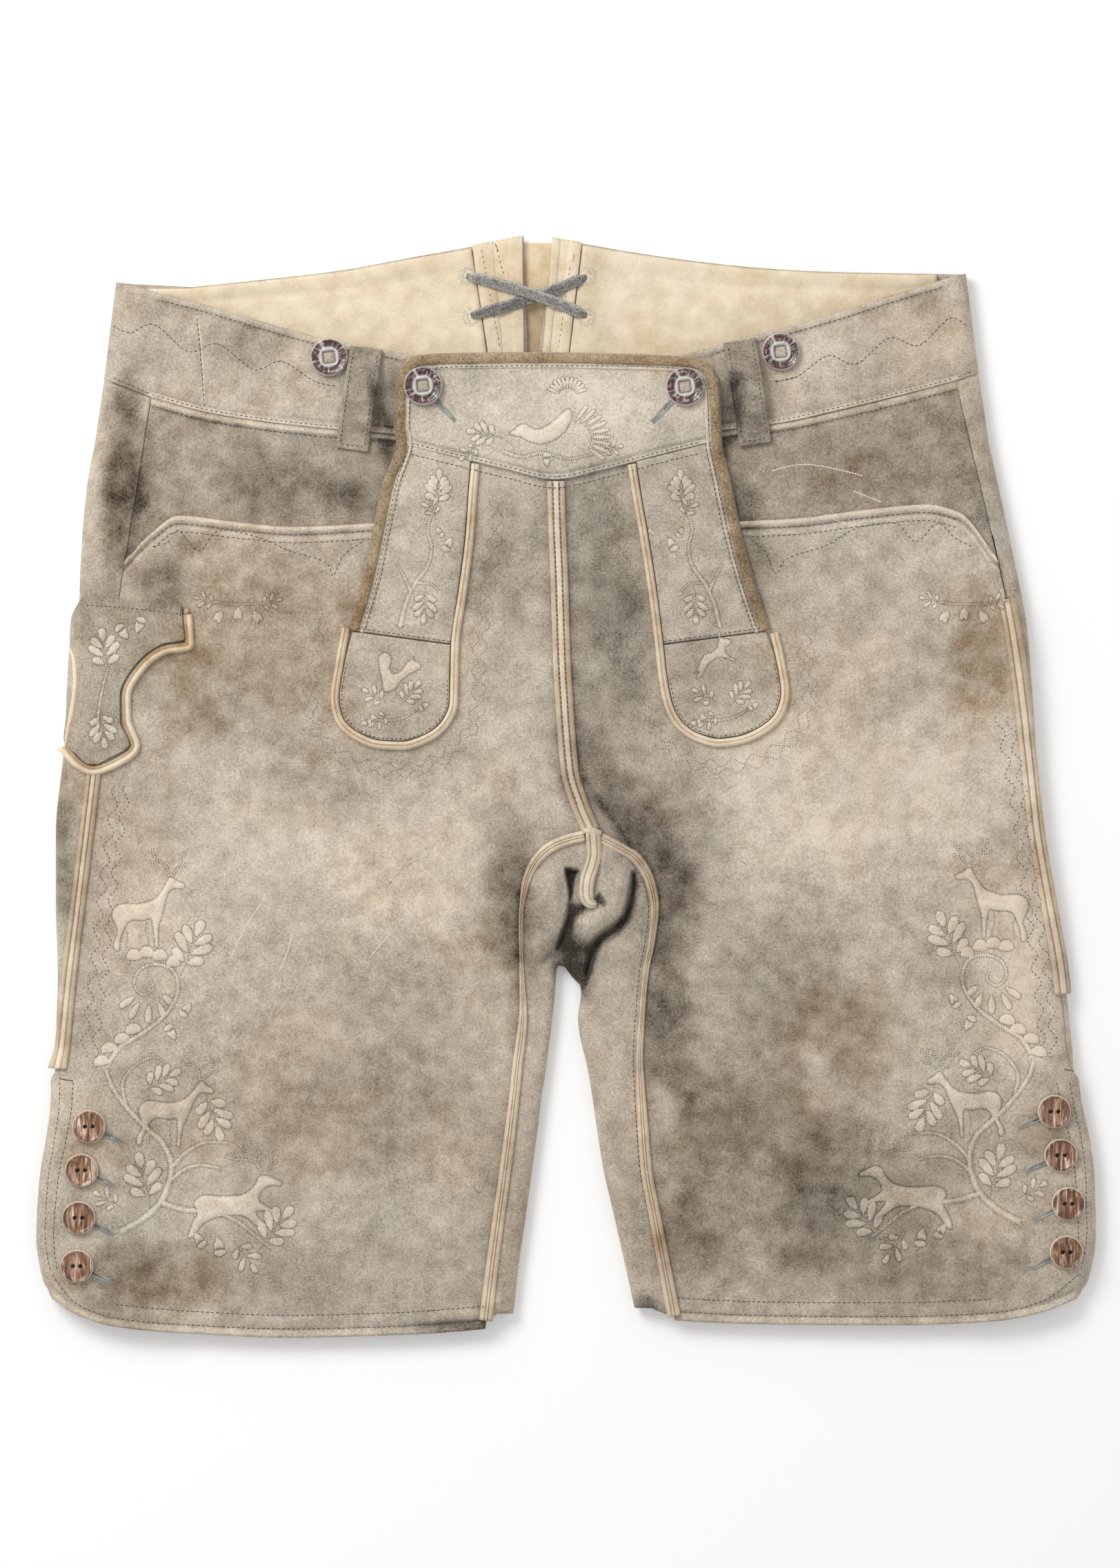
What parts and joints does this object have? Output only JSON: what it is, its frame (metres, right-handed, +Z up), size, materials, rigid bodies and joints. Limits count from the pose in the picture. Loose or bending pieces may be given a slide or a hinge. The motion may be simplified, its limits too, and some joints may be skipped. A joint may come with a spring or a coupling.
{
  "type": "lederhosen",
  "caption": "Knee-length leather breeches with a buttoned drop front, embroidered panels, cream piping and horn buttons, laid flat.",
  "frame": {"origin": "on the floor that the garment lies on, under the middle of its bounding box", "axes": "+X to the wearer's left, +Y to the waist, +Z up from the floor out of the garment's front"},
  "size_m": [0.5698, 0.5922, 0.0198],
  "materials": {
    "hide": "matte napped deer leather, grey-brown, worn and patinated",
    "cream_welt": "smooth cream leather piping and seam strips",
    "cream_suede": "napped cream suede facing inside the waistband",
    "thong": "grey suede lace",
    "antler": "polished brown and cream antler",
    "thread": "blue-grey sewing and embroidery thread"
  },
  "bodies": {
    "root": {"back_gusset": "cream_suede", "back_panel_left": "hide", "back_panel_right": "hide", "belt_loop_left": "hide", "belt_loop_right": "hide", "bib_band": "hide", "bib_button_left": "antler", "bib_button_right": "antler", "bib_piping_left": "cream_welt", "bib_piping_right": "cream_welt", "bib_strip_left": "hide", "bib_strip_right": "hide", "centre_strip": "cream_welt", "front_panel_left": "hide", "front_panel_right": "hide", "hem_button_left_1": "antler", "hem_button_left_2": "antler", "hem_button_left_3": "antler", "hem_button_left_4": "antler", "hem_button_right_1": "antler", "hem_button_right_2": "antler", "hem_button_right_3": "antler", "hem_button_right_4": "antler", "hip_panel_left": "hide", "hip_panel_right": "hide", "inseam_strip_left": "cream_welt", "inseam_strip_right": "cream_welt", "knife_pocket": "hide", "knife_pocket_piping": "cream_welt", "lace_over": "thong", "lace_under": "thong", "lacing_band_left": "cream_suede", "lacing_band_right": "cream_suede", "seat_strip": "cream_welt", "side_strip_left": "cream_welt", "side_strip_right": "cream_welt", "suspender_button_left": "antler", "suspender_button_right": "antler", "tongue_left": "hide", "tongue_right": "hide", "waist_facing_left": "cream_suede", "waist_facing_right": "cream_suede", "waistband_left": "hide", "waistband_right": "hide"}
  },
  "joints": []
}
